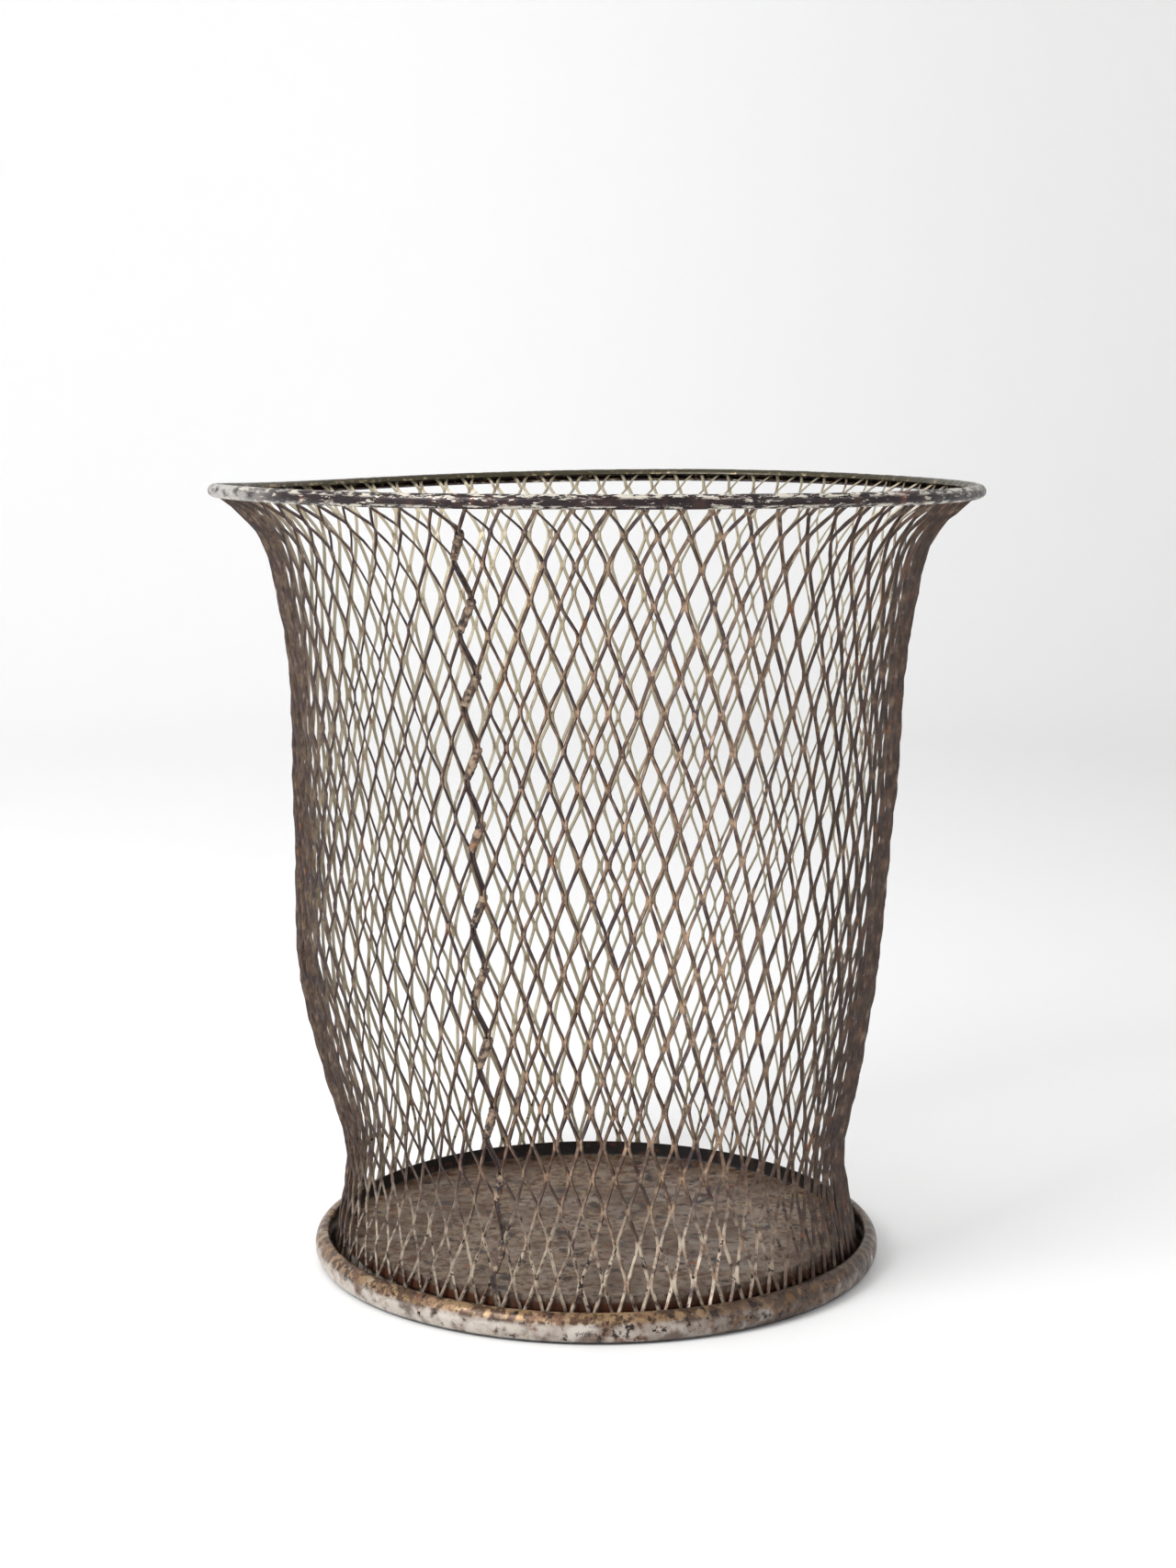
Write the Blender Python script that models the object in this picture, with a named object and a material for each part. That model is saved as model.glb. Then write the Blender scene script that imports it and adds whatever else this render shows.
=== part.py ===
"""A tulip-shaped basket of expanded steel sheet, with a rolled rim, a pressed base pan and a base bead.

Units are metres, +Z is up, and the origin is the centre of the base on the surface it stands on.
The seam of the rolled sheet faces the front, -Y, a little towards -X.
"""
import math

import bmesh
import bpy
import numpy as np
from mathutils import Matrix, Vector

MM = 0.001

# The whole basket
HEIGHT = 356 * MM
RIM_RADIUS = 172.4 * MM     # outside of the rolled rim
BEAD_RADIUS = 130.2 * MM    # outside of the base bead
CLEARANCE = 0.3 * MM        # between pieces that touch
FACETS = 64                 # round every turned piece

# The expanded sheet: half as many diamonds each way as the real one, in strands twice as heavy
SHEET_THICKNESS = 1.5 * MM
COLUMNS = 38                # diamonds round the basket
ROWS = 12                   # rows of strands from foot to rim, an even number
BOND_WIDTH = 3.2 * MM       # the knot where four strands meet
BOND_HEIGHT = 6.0 * MM
STRAND_WIDTH = 2.5 * MM     # which the bonds' size and spacing give
BODY_CURVE = (              # radius and height of the sheet, from its foot in the bead to its rim
    (121.6 * MM, 1.7 * MM),
    (118.8 * MM, 18 * MM),
    (114.5 * MM, 47 * MM),
    (123.2 * MM, 91 * MM),
    (130.6 * MM, 132 * MM),
    (135.8 * MM, 212 * MM),
    (142.1 * MM, 300 * MM),
    (152.7 * MM, 335 * MM),
)

# The seam, where the sheet's two edges lie side by side in crimped clips
SEAM_ANGLE = math.radians(248)
SEAM_SLIT = 0.55 * MM       # measured along a bond's slanting edge
CLIP_LENGTH = 14 * MM
CLIP_SHEET = 0.7 * MM
CLIP_ROOM = 0.45 * MM       # between the strands and the clip
CLIP_MOUTH = 0.8 * MM       # the open joint at the clip's back
CLIP_CORNER = 0.4 * MM      # bending radius, at the middle of the metal

# The rolled rim
RIM_TUBE = 3.0 * MM         # outer radius of the tube
RIM_SHEET = 0.8 * MM
RIM_SLOT = 2.7 * MM         # the mouth that takes the sheet's edge
RIM_SLOT_ANGLE = math.radians(225)

# The base pan, whose wall stands inside the sheet
PAN_SHEET = 0.8 * MM
PAN_WALL_RADIUS = 117.6 * MM    # outside of the wall
PAN_HEIGHT = 17.4 * MM
PAN_CORNER = 0.8 * MM
FLOOR_HEIGHT = 10.2 * MM        # top of the pan's floor

# The base bead, a channel that takes the foot of the sheet and carries the pan on its inner leg
BEAD_SHEET = 0.9 * MM
BEAD_HEIGHT = 13.2 * MM
BEAD_BULGE_WIDTH = 4.35 * MM    # at the middle of the metal
BEAD_LIP = (122.4 * MM, 11.2 * MM)
BEAD_FLAT = (124 * MM, 120.5 * MM, 117.2 * MM)      # the ring that the basket stands on
BEAD_LEG_RADIUS = 115.8 * MM
BEAD_LEG_BEND = 1.4 * MM


def smooth_curve(points, steps=40):
    """Cubic Hermite curve through the points, with its tangents taken from the neighbours."""
    points = np.array(points)
    along = np.concatenate([[0], np.cumsum(np.linalg.norm(np.diff(points, axis=0), axis=1))])
    tangents = np.gradient(points, along, axis=0)
    t = np.linspace(0, 1, steps, endpoint=False)[:, None]
    pieces = []
    for i in range(len(points) - 1):
        span = along[i + 1] - along[i]
        pieces.append(
            (2 * t**3 - 3 * t**2 + 1) * points[i]
            + (t**3 - 2 * t**2 + t) * span * tangents[i]
            + (3 * t**2 - 2 * t**3) * points[i + 1]
            + (t**3 - t**2) * span * tangents[i + 1]
        )
    return np.vstack(pieces + [points[-1:]])


RIM_CENTRE = (RIM_RADIUS - RIM_TUBE, HEIGHT - RIM_TUBE)
PROFILE = smooth_curve((*BODY_CURVE, RIM_CENTRE))
PROFILE_LENGTHS = np.concatenate([[0], np.cumsum(np.linalg.norm(np.diff(PROFILE, axis=0), axis=1))])
SHEET_LENGTH = PROFILE_LENGTHS[-1]
ROW_HEIGHT = (SHEET_LENGTH - BOND_HEIGHT) / ROWS


def sheet_point(angle, height):
    """A point on the middle of the sheet, from its polar angle and its height along the sheet."""
    radius = np.interp(height, PROFILE_LENGTHS, PROFILE[:, 0])
    z = np.interp(height, PROFILE_LENGTHS, PROFILE[:, 1])
    return Vector((radius * math.cos(angle), radius * math.sin(angle), z))


def material(name, colour, metallic, roughness):
    made = bpy.data.materials.new(name)
    made.use_nodes = True
    shader = made.node_tree.nodes["Principled BSDF"]
    shader.inputs["Base Color"].default_value = (*colour, 1)
    shader.inputs["Metallic"].default_value = metallic
    shader.inputs["Roughness"].default_value = roughness
    return made


def add_object(name, mesh, surface, parent):
    made = bpy.data.objects.new(name, mesh)
    if not mesh.materials:
        mesh.materials.append(surface)
    made.parent = parent
    bpy.context.scene.collection.objects.link(made)
    return made


def mesh_from(bm, name, smooth_angle=35):
    bmesh.ops.recalc_face_normals(bm, faces=bm.faces)
    mesh = bpy.data.meshes.new(name)
    bm.to_mesh(mesh)
    bm.free()
    mesh.shade_smooth()
    mesh.set_sharp_from_angle(angle=math.radians(smooth_angle))
    return mesh


def strip_outline(centre_line, thickness):
    """The closed outline of a strip of sheet metal that follows a centre line."""
    line = np.array(centre_line)
    along = np.gradient(line, axis=0)
    along /= np.linalg.norm(along, axis=1)[:, None]
    side = np.column_stack([along[:, 1], -along[:, 0]]) * thickness / 2
    return np.vstack([line + side, (line - side)[::-1]])


def turned_mesh(name, outline, closed):
    """Spin an outline of radius and height round Z. An open outline starts and ends on the axis."""
    bm = bmesh.new()
    verts = [bm.verts.new((radius, 0, z)) for radius, z in outline]
    edges = [bm.edges.new(pair) for pair in zip(verts, verts[1:])]
    if closed:
        edges.append(bm.edges.new((verts[-1], verts[0])))
    bmesh.ops.spin(
        bm, geom=verts + edges, cent=(0, 0, 0), axis=(0, 0, 1), angle=math.tau, steps=FACETS
    )
    bmesh.ops.remove_doubles(bm, verts=bm.verts, dist=0.01 * MM)
    return mesh_from(bm, name)


class Bond:
    """One knot of the expanded sheet: a diamond with a corner at the left, right, top and bottom."""

    def __init__(self, bm, row, column):
        self.bm = bm
        self.angle = SEAM_ANGLE + (column + row % 2 / 2) * math.tau / COLUMNS
        self.height = BOND_HEIGHT / 2 + row * ROW_HEIGHT
        self.left = self.corner(-BOND_WIDTH / 2, 0)
        self.right = self.corner(BOND_WIDTH / 2, 0)
        self.top = self.corner(0, BOND_HEIGHT / 2)
        self.bottom = self.corner(0, -BOND_HEIGHT / 2)

    def corner(self, across, up):
        radius = math.hypot(*sheet_point(0, self.height).xy)
        return self.bm.verts.new(sheet_point(self.angle + across / radius, self.height + up))

    def split(self, side):
        """Cut the bond's two edges on one side, and keep the ends that face left and right."""
        self.low_left, self.low_right = self.split_edge(side, self.bottom)
        self.high_left, self.high_right = self.split_edge(side, self.top)

    def split_edge(self, side, tip):
        middle = (side.co + tip.co) / 2
        reach = (side.co - tip.co).normalized() * SEAM_SLIT / 2
        near_side = self.bm.verts.new(middle + reach)
        near_tip = self.bm.verts.new(middle - reach)
        return (near_side, near_tip) if side is self.left else (near_tip, near_side)


def expanded_sheet_mesh():
    """The slit and stretched sheet: bonds in staggered rows, joined by slanting strands.

    The first bond of each row lies on the seam. It and the strands between these bonds are cut
    lengthwise, so the sheet is open there and its two edges lie side by side.
    """
    bm = bmesh.new()
    bonds = [[Bond(bm, row, column) for column in range(COLUMNS)] for row in range(ROWS + 1)]
    for row, line in enumerate(bonds):
        odd = row % 2
        for column, bond in enumerate(line):
            if column:
                bm.faces.new((bond.bottom, bond.right, bond.top, bond.left))
            elif odd:
                bond.split(bond.left)
                bm.faces.new((bond.low_left, bond.high_left, bond.left))
                bm.faces.new((bond.bottom, bond.right, bond.top, bond.high_right, bond.low_right))
            else:
                bond.split(bond.right)
                bm.faces.new((bond.low_right, bond.right, bond.high_right))
                bm.faces.new((bond.bottom, bond.low_left, bond.high_left, bond.top, bond.left))
    for row in range(ROWS):
        odd = row % 2
        for column in range(COLUMNS):
            low = bonds[row][column]
            high_right = bonds[row + 1][(column + odd) % COLUMNS]
            high_left = bonds[row + 1][(column + odd - 1) % COLUMNS]
            if column or odd:
                bm.faces.new((low.right, high_right.bottom, high_right.left, low.top))
            else:
                bm.faces.new((low.high_left, high_right.low_left, high_right.left, low.top))
                bm.faces.new((low.right, high_right.bottom, high_right.low_right, low.high_right))
            if column or not odd:
                bm.faces.new((low.top, high_left.right, high_left.bottom, low.left))
            else:
                bm.faces.new((low.high_left, high_left.low_left, high_left.bottom, low.left))
                bm.faces.new((low.top, high_left.right, high_left.low_right, low.high_right))
    mesh = bpy.data.meshes.new("mesh_body")
    bm.to_mesh(mesh)
    bm.free()
    return mesh


def add_mesh_body(surface, parent):
    body = add_object("mesh_body", expanded_sheet_mesh(), surface, parent)
    thicken = body.modifiers.new("Sheet thickness", "SOLIDIFY")
    thicken.thickness = SHEET_THICKNESS
    thicken.offset = 0
    thicken.use_even_offset = True


def clip_mesh():
    """A sleeve of sheet metal folded round both seam strands, open along its back, lying along X."""
    half_width = STRAND_WIDTH / 2 + CLIP_ROOM + CLIP_SHEET / 2
    half_depth = SHEET_THICKNESS / 2 + CLIP_ROOM + CLIP_SHEET / 2
    corners = (
        (half_width - CLIP_CORNER, half_depth - CLIP_CORNER, 0),
        (-half_width + CLIP_CORNER, half_depth - CLIP_CORNER, 90),
        (-half_width + CLIP_CORNER, -half_depth + CLIP_CORNER, 180),
        (half_width - CLIP_CORNER, -half_depth + CLIP_CORNER, 270),
    )
    line = []
    for across, out, start in corners:
        for degrees in (start, start + 45, start + 90):
            turn = math.radians(degrees)
            line.append((across + CLIP_CORNER * math.cos(turn), out + CLIP_CORNER * math.sin(turn)))
    line = line[-3:] + line[:-3]    # starts at the back, where the open joint is
    line = [(CLIP_MOUTH / 2, -half_depth), *line, (-CLIP_MOUTH / 2, -half_depth)]
    outline = strip_outline(line, CLIP_SHEET)
    bm = bmesh.new()
    verts = [bm.verts.new((-CLIP_LENGTH / 2, across, out)) for across, out in outline]
    end = bm.faces.new(verts)
    side = bmesh.ops.extrude_face_region(bm, geom=[end])
    moved = [item for item in side["geom"] if isinstance(item, bmesh.types.BMVert)]
    bmesh.ops.translate(bm, verts=moved, vec=(CLIP_LENGTH, 0, 0))
    return mesh_from(bm, "seam_clip")


def add_seam_clips(surface, parent):
    """One clip on each stretch of the seam above the base, between two bonds and in line with the strands."""
    mesh = clip_mesh()
    half_step = math.tau / COLUMNS / 2
    for row in range(1, ROWS):
        lean = -1 if row % 2 else 1         # the seam's strands lean right and left by turns
        low_height = BOND_HEIGHT / 2 + row * ROW_HEIGHT
        high_height = low_height + ROW_HEIGHT
        inset = lean * BOND_WIDTH / 4 / sheet_point(0, low_height + ROW_HEIGHT / 2).x
        low = sheet_point(SEAM_ANGLE + row % 2 * half_step + inset, low_height + BOND_HEIGHT / 4)
        high = sheet_point(SEAM_ANGLE + (row + 1) % 2 * half_step - inset, high_height - BOND_HEIGHT / 4)
        along = (high - low).normalized()
        middle_angle = SEAM_ANGLE + half_step / 2
        around = Vector((-math.sin(middle_angle), math.cos(middle_angle), 0))
        outward = around.cross(along).normalized()
        across = outward.cross(along)
        clip = add_object(f"seam_clip_{row:02d}", mesh, surface, parent)
        turn = Matrix((along, across, outward)).transposed().to_4x4()
        clip.matrix_local = Matrix.Translation((low + high) / 2) @ turn


def add_rim_tube(surface, parent):
    """A split tube whose slot faces in and down, and takes the sheet's top edge."""
    middle = RIM_TUBE - RIM_SHEET / 2
    half_slot = math.asin(RIM_SLOT / 2 / middle)
    turns = np.linspace(RIM_SLOT_ANGLE + half_slot, RIM_SLOT_ANGLE + math.tau - half_slot, 11)
    line = [
        (RIM_CENTRE[0] + middle * math.cos(turn), RIM_CENTRE[1] + middle * math.sin(turn))
        for turn in turns
    ]
    add_object("rim_tube", turned_mesh("rim_tube", strip_outline(line, RIM_SHEET), True), surface, parent)


def add_base_pan(surface, parent):
    """A flat floor with an upright wall, which stands clear of the ground on the bead's inner leg."""
    under = FLOOR_HEIGHT - PAN_SHEET
    inner = PAN_WALL_RADIUS - PAN_SHEET
    outline = (
        (0, under),
        (inner - PAN_CORNER, under),
        (PAN_WALL_RADIUS, under + PAN_SHEET + PAN_CORNER),
        (PAN_WALL_RADIUS, PAN_HEIGHT),
        (inner, PAN_HEIGHT),
        (inner, FLOOR_HEIGHT + PAN_CORNER),
        (inner - PAN_CORNER, FLOOR_HEIGHT),
        (0, FLOOR_HEIGHT),
    )
    add_object("base_pan", turned_mesh("base_pan", outline, False), surface, parent)


def add_base_bead(surface, parent):
    """A channel: a lip curled in to the sheet, a round bulge, a flat ring under it and an inner leg."""
    bottom = BEAD_SHEET / 2
    top = BEAD_HEIGHT - BEAD_SHEET / 2
    bulge_centre = BEAD_RADIUS - BEAD_SHEET / 2 - BEAD_BULGE_WIDTH
    line = [BEAD_LIP]
    for degrees in np.linspace(110, -90, 8):
        turn = math.radians(degrees)
        line.append((
            bulge_centre + BEAD_BULGE_WIDTH * math.cos(turn),
            (top + bottom) / 2 + (top - bottom) / 2 * math.sin(turn),
        ))
    line += [(radius, bottom) for radius in BEAD_FLAT]
    line += [
        (BEAD_LEG_RADIUS, bottom + BEAD_LEG_BEND),
        (BEAD_LEG_RADIUS, FLOOR_HEIGHT / 2),
        (BEAD_LEG_RADIUS, FLOOR_HEIGHT - PAN_SHEET - CLEARANCE),
    ]
    add_object("base_bead", turned_mesh("base_bead", strip_outline(line, BEAD_SHEET), True), surface, parent)


def clear_scene():
    for old in list(bpy.data.objects):
        bpy.data.objects.remove(old, do_unlink=True)


clear_scene()
basket = bpy.data.objects.new("basket", None)
bpy.context.scene.collection.objects.link(basket)
add_mesh_body(material("worn_grey_steel", (0.26, 0.22, 0.19), 0.6, 0.55), basket)
add_seam_clips(material("crimped_steel", (0.22, 0.18, 0.16), 0.6, 0.55), basket)
add_rim_tube(material("oxidised_steel", (0.14, 0.11, 0.10), 0.6, 0.5), basket)
add_base_pan(material("stained_steel", (0.12, 0.09, 0.07), 0.5, 0.6), basket)
add_base_bead(material("rusty_steel", (0.34, 0.31, 0.28), 0.7, 0.5), basket)
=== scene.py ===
import math
import bmesh
import bpy
import numpy as np
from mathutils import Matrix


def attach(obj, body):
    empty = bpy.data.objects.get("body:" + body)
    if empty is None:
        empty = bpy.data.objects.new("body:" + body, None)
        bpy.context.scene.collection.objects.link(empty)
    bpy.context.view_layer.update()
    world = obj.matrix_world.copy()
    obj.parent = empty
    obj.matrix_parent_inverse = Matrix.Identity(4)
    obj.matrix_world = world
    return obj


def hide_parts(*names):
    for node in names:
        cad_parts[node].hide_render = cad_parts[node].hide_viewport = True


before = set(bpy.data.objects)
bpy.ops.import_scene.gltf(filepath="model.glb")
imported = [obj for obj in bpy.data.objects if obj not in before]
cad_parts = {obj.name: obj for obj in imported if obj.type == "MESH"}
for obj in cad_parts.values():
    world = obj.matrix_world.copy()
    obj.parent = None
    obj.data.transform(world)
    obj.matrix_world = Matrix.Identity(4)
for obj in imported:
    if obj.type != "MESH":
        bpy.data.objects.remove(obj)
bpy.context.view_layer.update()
mm = 0.001
fullTurn = 2 * math.pi
weldDistance = 0.001 * mm
mostUneven = 2                       # no random part goes past this many standard deviations

# An old tulip-shaped basket: a sheet of steel slit and stretched into diamonds, rolled up and
# crimped down a seam, with a rolled rim above and a raised pan in a rolled bead below.
# Every piece is a numpy grid of points of shape (copies, rows, columns, 3).


# Quads between neighbouring points of each copy's grid. The columns close on themselves, the rows
# too where loopRows says so, capped closes both ends of each copy with quads from side to side, and
# poles welds the points that meet on the axis.
def gridMesh(name, grid, loopRows=False, capped=False, poles=False, smoothAngle=40):
    copies, rows, columns = grid.shape[:3]
    index = np.arange(copies * rows * columns).reshape(copies, rows, columns)
    here = index if loopRows else index[:, :-1]
    above = np.roll(index, -1, axis=1) if loopRows else index[:, 1:]
    quads = [np.stack([here, np.roll(here, -1, axis=2), np.roll(above, -1, axis=2), above], axis=-1)]
    if capped:
        near = np.arange(columns // 2 - 1)
        far = columns - 1 - near
        for end in (index[:, 0], index[:, -1]):
            quads.append(np.stack([end[:, near], end[:, near + 1], end[:, far - 1], end[:, far]], axis=-1))
    quads = np.concatenate([part.reshape(-1, 4) for part in quads])
    mesh = bpy.data.meshes.new(name)
    mesh.vertices.add(index.size)
    mesh.vertices.foreach_set("co", grid.reshape(-1))
    mesh.loops.add(quads.size)
    mesh.loops.foreach_set("vertex_index", quads.reshape(-1))
    mesh.polygons.add(len(quads))
    mesh.polygons.foreach_set("loop_start", np.arange(0, quads.size, 4))
    mesh.update(calc_edges=True)
    work = bmesh.new()
    work.from_mesh(mesh)
    if poles:
        bmesh.ops.remove_doubles(work, verts=work.verts, dist=weldDistance)
    bmesh.ops.recalc_face_normals(work, faces=work.faces)
    work.to_mesh(mesh)
    work.free()
    mesh.shade_smooth()
    mesh.set_sharp_from_angle(angle=math.radians(smoothAngle))
    return mesh


# One number for each point or face of a mesh, which a material reads by its name.
def setAttribute(mesh, name, domain, values):
    attribute = mesh.attributes.new(name, "FLOAT", domain)
    attribute.data.foreach_set("value", np.ascontiguousarray(values, dtype=np.float32).reshape(-1))


# Puts a mesh in the scene as a piece that rides on the one body in place of the named solids.
def addPiece(mesh, material, slotName, *nodes):
    piece = bpy.data.objects.new(mesh.name, mesh)
    bpy.context.scene.collection.objects.link(piece)
    mesh.materials.append(material)
    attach(piece, "root")
    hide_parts(*nodes)
    print("made", mesh.name, "with", len(mesh.polygons), "faces")


# Each vector divided by its length.
def unit(vectors):
    return vectors / np.linalg.norm(vectors, axis=-1, keepdims=True)


# Cubic Hermite curve: between two points it is (2t^3 - 3t^2 + 1) of the first, (3t^2 - 2t^3) of the
# second and the two slopes times (t^3 - 2t^2 + t) and (t^3 - t^2). Slopes come from the neighbours.
def smoothCurve(points, steps=40):
    points = np.array(points)
    along = np.concatenate([[0], np.cumsum(np.linalg.norm(np.diff(points, axis=0), axis=1))])
    slopes = np.gradient(points, along, axis=0)
    t = np.linspace(0, 1, steps, endpoint=False)[None, :, None]
    span = np.diff(along)[:, None, None]
    curve = (
        (2 * t**3 - 3 * t**2 + 1) * points[:-1, None]
        + (t**3 - 2 * t**2 + t) * span * slopes[:-1, None]
        + (3 * t**2 - 2 * t**3) * points[1:, None]
        + (t**3 - t**2) * span * slopes[1:, None]
    )
    return np.vstack([curve.reshape(-1, 2), points[-1:]])


# Closed outline of sheet metal: its middle line plus and minus half the thickness along the normal.
def stripOutline(line, thickness):
    along = unit(np.gradient(line, axis=0))
    side = np.stack([along[:, 1], -along[:, 0]], axis=1) * thickness / 2
    return np.vstack([line + side, (line - side)[::-1]])


# An outline of radius and height carried round a circle. The radius breathes by sines of 2 to 8
# waves a turn, each at a random start and as tall as wobble divided by its number of waves.
def turnedGrid(outline, steps, wobble, seed):
    random = np.random.default_rng(seed)
    angle = np.linspace(0, fullTurn, steps, endpoint=False)
    waves = np.arange(2, 9)[:, None]
    breath = (np.sin(waves * angle + fullTurn * random.random(waves.shape)) / waves).sum(axis=0)
    radius = outline[None, :, 0] + wobble * breath[:, None] * (outline[None, :, 0] > mm)
    height = np.broadcast_to(outline[None, :, 1], radius.shape)
    cosine, sine = np.cos(angle)[:, None], np.sin(angle)[:, None]
    return np.stack([radius * cosine, radius * sine, height], axis=-1)[None]


body = {
    "height": 356 * mm,
    "curve": (                       # radius and height of the middle of the sheet, foot to rim
        (121.6 * mm, 1.7 * mm),
        (118.6 * mm, 18 * mm),
        (114.1 * mm, 47 * mm),
        (122.7 * mm, 91 * mm),
        (130.3 * mm, 132 * mm),
        (135.3 * mm, 212 * mm),
        (141.3 * mm, 300 * mm),
        (151.1 * mm, 335 * mm),
        (169.4 * mm, 353 * mm),
        (170.9 * mm, 354.4 * mm),
    ),
    "lean": -3.7 * mm,               # the waist leans left
    "leanHeight": 132 * mm,
    "leanReach": 58 * mm,
    "dent": 0.5 * mm,
    "dentRadius": 130 * mm,          # where the wall stands, more or less
    "dentWaves": ((3, 9, 0, 1), (7, -14, 1, 0.6)),   # waves a turn, radians up it, start and share
    "rimTilt": -0.0045,              # drop of the rim for each metre to the right
    "rimBumps": (                    # height, place and reach round the rim
        (-3.2 * mm, 150, 36),
        (1.8 * mm, 66, 38),
        (-0.5 * mm, 235, 25),
    ),
    "rimFade": 3,                    # power of the height at which the bumps die away downwards
}


# What years of use did to the shape: the waist leans by a bell curve in height, the wall is dented
# by sines of angle and height, and the rim rises and falls by bell curves of the angle.
def settle(points):
    x, y, z = points[..., 0], points[..., 1], points[..., 2]
    angle = np.degrees(np.arctan2(y, x)) % 360
    rise = body["rimTilt"] * x
    for height, place, reach in body["rimBumps"]:
        away = (angle - place + 180) % 360 - 180
        rise = rise + height * np.exp(-((away / reach) ** 2))
    share = z / body["height"]
    turn = np.radians(angle)
    wave = 0
    for waves, up, start, part in body["dentWaves"]:
        wave = wave + part * np.sin(waves * turn + up * share + start)
    dent = body["dent"] * wave * np.sin(math.pi * np.clip(share, 0, 1)) ** 2
    swell = 1 + dent / body["dentRadius"]
    lean = body["lean"] * np.exp(-(((z - body["leanHeight"]) / body["leanReach"]) ** 2))
    return np.stack([x * swell + lean, y * swell, z + share ** body["rimFade"] * rise], axis=-1)


profile = smoothCurve(body["curve"])
profileLength = np.concatenate([[0], np.cumsum(np.linalg.norm(np.diff(profile, axis=0), axis=1))])
profileTangent = unit(np.gradient(profile, axis=0))

expandedSheet = {
    "columns": 75,                   # diamonds round the basket
    "phase": math.radians(3.6),      # where column 0 stands, from +X
    "rowPitch": 15.236 * mm,         # half a diamond, along the sheet
    "firstRow": 1,
    "lastRow": 24,
    "middleRow": 16,
    "rowStart": -7.8 * mm,
    "rowTilt": (-3.71 * mm, -1.39 * mm),    # the rows run a little askew
    "rowTiltGrowth": 1.2 * mm,
    "rowStretch": -3.41 * mm,        # diamonds are longer towards the foot
    "twist": (math.radians(0.92), math.radians(-2.18)),
    "squeeze": (0.0018, -0.0206, 0.0108),   # columns crowd together at the front of the waist
    "pulls": ((-0.031, 17, 4.5), (0.0123, 9, 3)),    # the seam drags the diamonds beside it
    "pullPlace": math.radians(225),
    "pullPower": 6,                  # the higher, the nearer to the seam the drag dies away
    "strandWidth": 1.4 * mm,
    "strandThickness": 0.82 * mm,
    "strandTilt": math.radians(42),  # slit and stretched strands stand like louvres
    "strandPoints": (0.07, 0.2, 0.5, 0.8, 0.93),     # where a strand has points, in each row
    "endStep": 0.1,                  # least part of a row from the last of them to a cut end
    "topMargin": 0.6 * mm,           # the sheet stops this short of the profile's end
    "bondShare": 0.11,               # part of a row, above and below its bond, that runs upright
    "bondReach": 0.47,               # of a strand's width, so that two bonded strands overlap a little
    "knotFade": 5,                   # a knot's painted highlight, paler metal, ends at one part in this of the ramp
    "jitter": (0.3 * mm, 0.36 * mm, 0.12 * mm, 0.1),  # around, up, out and the tilt in radians
    "spareRows": 4,                  # of jitter, past the last row
    "calmFrom": 0.6,                 # row from which the jitter grows, and as far from the top
    "calmReach": 2,                  # rows over which it grows
    "calmLeast": 0.15,
    "stoutness": 0.09,               # strands are wider and narrower by this share
    "seamStrip": 102,
    "seamSpread": (0.8 * mm, 0.72 * mm),    # of each cut edge from the seam, in a clip and between clips
    "seamWidth": (0.83, 1.15),       # share of a strand's, in a clip and between clips
    "seamWeave": (0.2 * mm, 0.3 * mm, 5.1, 1),       # outward step, its swing, radians a row and start
    "seed": 11,
}


# Lattice column and row to a point of the sheet, with the ways around and out there. The angle is
# column * pi / columns, squeezed by a cosine, twisted by a parabola and pulled by a power of a
# cosine times bell curves of the row. The way up the sheet is row * rowPitch, tilted and stretched.
def sheetPlace(column, row):
    m = expandedSheet
    down = (m["middleRow"] - row) / m["middleRow"]
    even = m["phase"] + column * math.pi / m["columns"]
    angle = even + (m["squeeze"][0] + m["squeeze"][1] * down + m["squeeze"][2] * down**2) * np.cos(even)
    angle = angle + m["twist"][0] * down + m["twist"][1] * down**2
    near = ((1 + np.cos(even - m["pullPlace"])) / 2) ** m["pullPower"]
    for amount, place, reach in m["pulls"]:
        angle = angle + amount * near * np.exp(-(((row - place) / reach) ** 2))
    along = m["rowStart"] + m["rowPitch"] * row + m["rowStretch"] * down**2
    along = along + (m["rowTilt"][0] + m["rowTiltGrowth"] * down) * np.cos(angle)
    along = along + m["rowTilt"][1] * np.sin(angle)
    radius = np.interp(along, profileLength, profile[:, 0])
    height = np.interp(along, profileLength, profile[:, 1])
    outward = np.interp(along, profileLength, profileTangent[:, 1])
    upward = -np.interp(along, profileLength, profileTangent[:, 0])
    cosine, sine = np.cos(angle), np.sin(angle)
    place = np.stack([radius * cosine, radius * sine, height], axis=-1)
    around = np.stack([-sine, cosine, np.zeros_like(angle)], axis=-1)
    out = np.stack([outward * cosine, outward * sine, upward], axis=-1)
    return place, around, out, along


# The row at which a column's way up the sheet equals wanted: from start, each step adds the way
# that is still missing, divided by the row pitch.
def rowWhere(columns, wanted, start, steps=5):
    row = np.full(columns.shape, float(start))
    for _ in range(steps):
        row = row + (wanted - sheetPlace(columns, row)[3]) / expandedSheet["rowPitch"]
    return row


# Seeded unevenness of each bond: metres around, up and out, and a little more or less tilt. The
# first two columns are repeated after the last, where the sheet closes on itself.
def makeBondNoise():
    m = expandedSheet
    random = np.random.default_rng(m["seed"])
    size = (m["lastRow"] + m["spareRows"], 2 * m["columns"] + 2, len(m["jitter"]))
    noise = np.clip(random.normal(0, 1, size), -mostUneven, mostUneven) * np.array(m["jitter"])
    noise[:, -2:] = noise[:, :2]
    return noise


bondNoise = makeBondNoise()


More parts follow.
